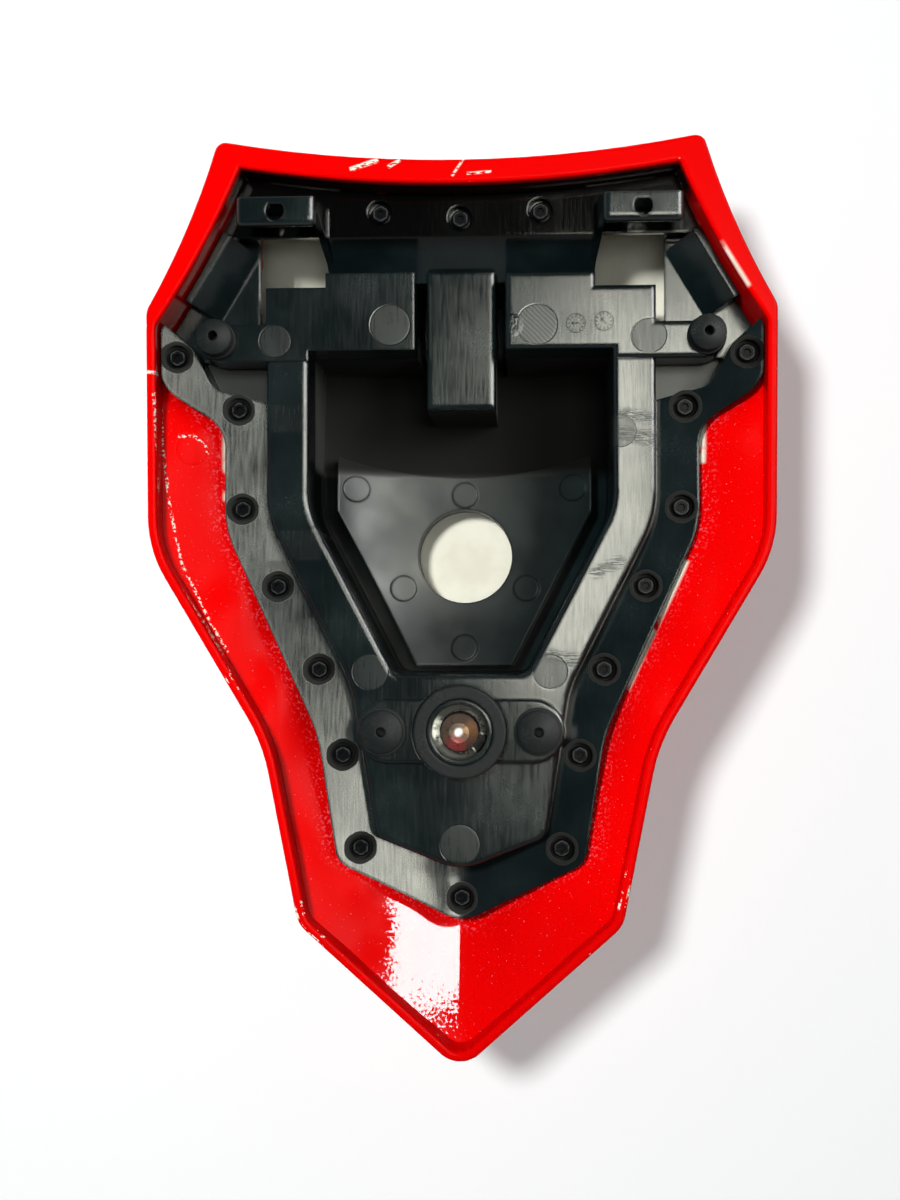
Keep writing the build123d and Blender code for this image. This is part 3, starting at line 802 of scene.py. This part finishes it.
def makeScrewFinish():
    material, tree, shader = newMaterial("blackOxide")
    coords = readCoords(tree)
    mottled = grain(tree, coords, *screwFinish["mottle"])
    away = nearestScrew(tree, flatten(tree, coords))
    rings = [lineAt(tree, away, radius, screwFinish["ringWidth"]) for radius in screwFinish["rings"]]
    # painted highlights on the socket's edge and the head's edge, broken by the mottle
    wornAndGlints = times(tree, strongest(tree, *rings), above(tree, mottled, screwFinish["ringGrain"]))
    setShader(
        tree,
        shader,
        Base_Color=mixColour(tree, wornAndGlints, screwFinish["black"], screwFinish["wornAndGlints"]),
        Roughness=addUp(tree, sway(tree, mottled, screwFinish["roughSway"]), screwFinish["roughness"]),
        Normal=roundedNormal(tree, mottled, *screwFinish["bump"], screwFinish["edge"]),
        Specular_IOR_Level=screwFinish["specular"],
    )
    return material


dress("cover_screws", makeScrewFinish())
print("screws done")


# Rubber of the buffers and the ring round the lock

rubber = {
    "black": (0.0045, 0.0078, 0.008, 1.0),
    "dust": (0.05, 0.056, 0.053, 1.0),
    "cleanDust": 0.4,
    "wornDust": 1.0,
    "roughness": 0.66,
    "roughSway": 0.3,
    "specular": 0.22,
    "bump": (0.3, 0.0002),  # strength, distance
    "edge": 0.0009,
    # grains: scale, detail
    "cloud": (160.0, 5.0),
    "speck": (1500.0, 3.0),
    "cloudLimits": (0.4, 0.75),
    "speckLimits": (0.4, 0.7),
    "speckRise": 0.4,
}


def makeRubber(name, dustShare):
    material, tree, shader = newMaterial(name)
    coords = readCoords(tree)
    cloud = grain(tree, coords, *rubber["cloud"])
    speck = grain(tree, coords, *rubber["speck"])
    dusty = times(
        tree,
        above(tree, cloud, rubber["cloudLimits"]),
        above(tree, speck, rubber["speckLimits"]),
        dustShare,
    )
    height = addUp(tree, times(tree, speck, rubber["speckRise"]), cloud)
    setShader(
        tree,
        shader,
        Base_Color=mixColour(tree, dusty, rubber["black"], rubber["dust"]),
        Roughness=addUp(tree, rubber["roughness"], sway(tree, cloud, rubber["roughSway"])),
        Normal=roundedNormal(tree, height, *rubber["bump"], rubber["edge"]),
        Specular_IOR_Level=rubber["specular"],
    )
    return material


cleanRubber = makeRubber("bufferRubber", rubber["cleanDust"])
wornRubber = makeRubber("wornRubber", rubber["wornDust"])
for name in ("front_buffer_left", "rear_buffer_left", "rear_buffer_right", "lock_buffer_ring"):
    dress(name, cleanRubber)
dress("front_buffer_right", wornRubber)
print("rubber done")


# Turned lock pin with a little rust

pinSteel = {
    "brown": (0.105, 0.074, 0.05, 1.0),
    "rust": (0.03, 0.014, 0.008, 1.0),
    "pink": (0.32, 0.06, 0.055, 1.0),
    "orange": (0.24, 0.115, 0.04, 1.0),
    "gapShade": (0.008, 0.007, 0.006, 1.0),
    "tipHighlight": (0.95, 0.95, 0.92, 1.0),
    "metal": 0.3,
    "roughness": 0.24,
    "rustRough": 0.4,
    "bump": (0.12, 0.00008),  # strength, distance
    "edge": 0.0003,
    "grooves": {"Scale": 2600.0, "Distortion": 0.6},
    "rustGrain": (520.0, 5.0, None, 0.7),  # scale, detail, stretch, roughness
    "rustLimits": (0.47, 0.62),
    "rustShare": 0.7,
    # spots from the pin's middle: x, y, radius, softness
    "pinkStain": (-0.0012, -0.0046, 0.0036, 0.002),
    "orangeStain": (0.0048, 0.0012, 0.0032, 0.002),
    # painted highlight: a bright spot on the pin's tip
    "tipHighlightSpot": (-0.0002, 0.0003, 0.0013, 0.0008),
    # painted shade: dark outside this circle, down in the gap round the pin
    "gapCircle": (0.0, 0.0, 0.0068, 0.0003),
}


def pinMiddle():
    low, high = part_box("lock_pin")
    return (low.x + high.x) / 2, (low.y + high.y) / 2


def spotOnPin(tree, flat, place):
    middleX, middleY = pinMiddle()
    x, y, radius, soft = place
    return disc(tree, flat, middleX + x, middleY + y, radius, soft)


def makeTurnedSteel():
    material, tree, shader = newMaterial("turnedSteel")
    coords = readCoords(tree)
    flat = flatten(tree, coords)
    centred = addNode(
        tree, "ShaderNodeMapping", {"Vector": flat, "Location": (*pinMiddle(), 0.0)}, vector_type="TEXTURE"
    ).outputs[0]
    turned = addNode(
        tree,
        "ShaderNodeTexWave",
        {"Vector": centred, **pinSteel["grooves"]},
        wave_type="RINGS",
        rings_direction="Z",
    ).outputs[1]
    blotch = grain(tree, coords, *pinSteel["rustGrain"])
    rusty = above(tree, blotch, pinSteel["rustLimits"])
    # painted shade: everything outside the circle is coloured dark
    rim = calc(tree, "SUBTRACT", 1.0, spotOnPin(tree, flat, pinSteel["gapCircle"]))
    colour = pinSteel["brown"]
    for share, over in (
        (spotOnPin(tree, flat, pinSteel["pinkStain"]), "pink"),
        (spotOnPin(tree, flat, pinSteel["orangeStain"]), "orange"),
        (times(tree, rusty, pinSteel["rustShare"]), "rust"),
        # painted highlight on the tip
        (spotOnPin(tree, flat, pinSteel["tipHighlightSpot"]), "tipHighlight"),
        (rim, "gapShade"),
    ):
        colour = mixColour(tree, share, colour, pinSteel[over])
    setShader(
        tree,
        shader,
        Base_Color=colour,
        Metallic=pinSteel["metal"],
        Roughness=addUp(tree, pinSteel["roughness"], times(tree, rusty, pinSteel["rustRough"])),
        Normal=roundedNormal(tree, addUp(tree, turned, blotch), *pinSteel["bump"], pinSteel["edge"]),
    )
    return material


dress("lock_pin", makeTurnedSteel())
print("pin done")


# Spring ring round the pin, with painted highlights on its left side and at its ears

ringSteel = {
    "dark": (0.025, 0.025, 0.023, 1.0),
    "glint": (0.62, 0.64, 0.58, 1.0),
    "metal": 0.6,
    "roughness": 0.24,
    "dullRough": 0.15,
    "bump": (0.15, 0.0001),  # strength, distance
    "edge": 0.0002,
    "dull": (600.0, 4.0),  # scale, detail
    "dullLimits": (0.3, 0.6),
    # painted highlights, placed from the pin's middle: x, y, radius, softness
    "glintSpots": [
        (0.0072, -0.0022, 0.0013, 0.0006),
        (0.0048, -0.0062, 0.0014, 0.0006),
        (-0.0085, 0.0, 0.0042, 0.0018),
    ],
}


def makeSpringSteel():
    material, tree, shader = newMaterial("springSteel")
    coords = readCoords(tree)
    flat = flatten(tree, coords)
    dull = grain(tree, coords, *ringSteel["dull"])
    glintSpots = [spotOnPin(tree, flat, place) for place in ringSteel["glintSpots"]]
    # painted highlights on the ring, broken by the dull grain
    glint = times(tree, strongest(tree, *glintSpots), above(tree, dull, ringSteel["dullLimits"]))
    setShader(
        tree,
        shader,
        Base_Color=mixColour(tree, glint, ringSteel["dark"], ringSteel["glint"]),
        Metallic=ringSteel["metal"],
        Roughness=addUp(tree, ringSteel["roughness"], times(tree, dull, ringSteel["dullRough"])),
        Normal=roundedNormal(tree, dull, *ringSteel["bump"], ringSteel["edge"]),
    )
    return material


dress("retaining_ring", makeSpringSteel())
print("spring ring done")


# Floor and room

studio = {
    "white": (1.0, 1.0, 1.0, 1.0),
    "floorSize": 8.0,
    "floorColour": (0.85, 0.866, 0.867, 1.0),
    "floorRoughness": 0.9,
    # the floor fades to the white background between these distances
    "fade": (0.5, 1.7),
    "floorLift": 0.17,
    "fadeLift": 0.95,
    # the room is dimmer overhead: upward share of the direction
    "overhead": (0.45, 0.85),
    "horizon": 0.28,
    "zenith": 0.03,
    # reflections show the white background up to here
    "whiteBand": (0.12, 0.25),
}


def makeFloor():
    mesh = bpy.data.meshes.new("floor")
    bm = bmesh.new()
    bmesh.ops.create_grid(bm, x_segments=2, y_segments=2, size=studio["floorSize"] / 2)
    bm.to_mesh(mesh)
    bm.free()
    floor = bpy.data.objects.new("floor", mesh)
    bpy.context.scene.collection.objects.link(floor)
    material, tree, shader = newMaterial("paleFloor")
    path = addNode(tree, "ShaderNodeLightPath").outputs
    seen = calc(tree, "ADD", path["Is Camera Ray"], path["Is Glossy Ray"])
    seen = calc(tree, "ADD", seen, path["Is Transmission Ray"], clamp=True)
    away = distanceTo(tree, flatten(tree, readCoords(tree)), 0.0, 0.0)
    lift = step(tree, away, *studio["fade"], studio["floorLift"], studio["fadeLift"])
    setShader(
        tree,
        shader,
        Base_Color=studio["floorColour"],
        Roughness=studio["floorRoughness"],
        Specular_IOR_Level=0.0,
        Emission_Color=studio["white"],
        Emission_Strength=times(tree, seen, lift),
    )
    mesh.materials.append(material)


def makeWorld():
    world = bpy.data.worlds.new("studioRoom")
    bpy.context.scene.world = world
    world.use_nodes = True
    tree = world.node_tree
    direction = addNode(tree, "ShaderNodeTexCoord").outputs["Generated"]
    up = splitUp(tree, direction)[2]
    room = step(tree, up, *studio["overhead"], studio["horizon"], studio["zenith"])
    # the camera sees plain white, and so do reflections near the horizon
    path = addNode(tree, "ShaderNodeLightPath").outputs
    mirrored = calc(tree, "ADD", path["Is Glossy Ray"], path["Is Transmission Ray"], clamp=True)
    mirrored = times(tree, mirrored, below(tree, up, studio["whiteBand"]))
    background = tree.nodes["Background"]
    tree.links.new(strongest(tree, room, path["Is Camera Ray"], mirrored), background.inputs["Strength"])
    background.inputs["Color"].default_value = studio["white"]


makeFloor()
makeWorld()
print("floor and room done")


# Lamps, each of which either lights surfaces or is seen in them

lamps = {
    "aim": (0.0, 0.0, 0.06),
    "white": (1.0, 1.0, 1.0),
    "warm": (1.0, 1.0, 0.87),
    # round lamps that light the part and cast its shadow: place, size, power, tint
    "lighting": {
        "keyLamp": ((-0.33, 0.27, 1.3), 0.21, 15.2, "white"),
        "skyLamp": ((0.1, -0.12, 1.6), 0.5, 3.0, "white"),
    },
    # panels that only show in the glossy faces: place, sides, power, tint
    "panels": {
        "topLamp": ((0.36, 0.26, 2.4), (0.56, 0.8), 27.0, "warm"),
        "sideLamp": ((1.36, 0.25, 2.3), (0.56, 1.1), 38.0, "warm"),
        "lowLamp": ((1.0, 0.47, 0.98), (0.62, 0.62), 28.0, "white"),
    },
}


def addLamp(name, place, power, tint):
    lamp = bpy.data.lights.new(name, "AREA")
    lamp.energy = power
    lamp.color = lamps[tint]
    holder = bpy.data.objects.new(name, lamp)
    bpy.context.scene.collection.objects.link(holder)
    # the lamp faces the part, its first side along the frame's x
    back = (Vector(place) - Vector(lamps["aim"])).normalized()
    across = Vector((0.0, 1.0, 0.0)).cross(back).normalized()
    turned = Matrix((across, back.cross(across), back)).transposed()
    holder.rotation_euler = turned.to_euler()
    holder.location = place
    holder.visible_camera = False
    return holder


for name, (place, size, power, tint) in lamps["lighting"].items():
    holder = addLamp(name, place, power, tint)
    holder.data.shape = "DISK"
    holder.data.size = size
    holder.visible_glossy = False

for name, (place, sides, power, tint) in lamps["panels"].items():
    holder = addLamp(name, place, power, tint)
    holder.data.shape = "RECTANGLE"
    holder.data.size, holder.data.size_y = sides
    holder.visible_diffuse = False
print("lamps done")


# Camera at the photograph's view

camera = {
    "place": (0.02208, -0.0138, 0.61725),
    "turn": (1.34, 2.712, -0.068),  # degrees
    "lens": 44.19,
    "sensor": 36.0,
    "clipStart": 0.01,
}


def makeCamera():
    data = bpy.data.cameras.new("camera")
    data.lens = camera["lens"]
    data.sensor_width = camera["sensor"]
    data.clip_start = camera["clipStart"]
    holder = bpy.data.objects.new("camera", data)
    holder.location = camera["place"]
    holder.rotation_euler = [math.radians(angle) for angle in camera["turn"]]
    bpy.context.scene.collection.objects.link(holder)
    bpy.context.scene.camera = holder


makeCamera()
bpy.context.scene.view_settings.view_transform = "Standard"
print("camera done")
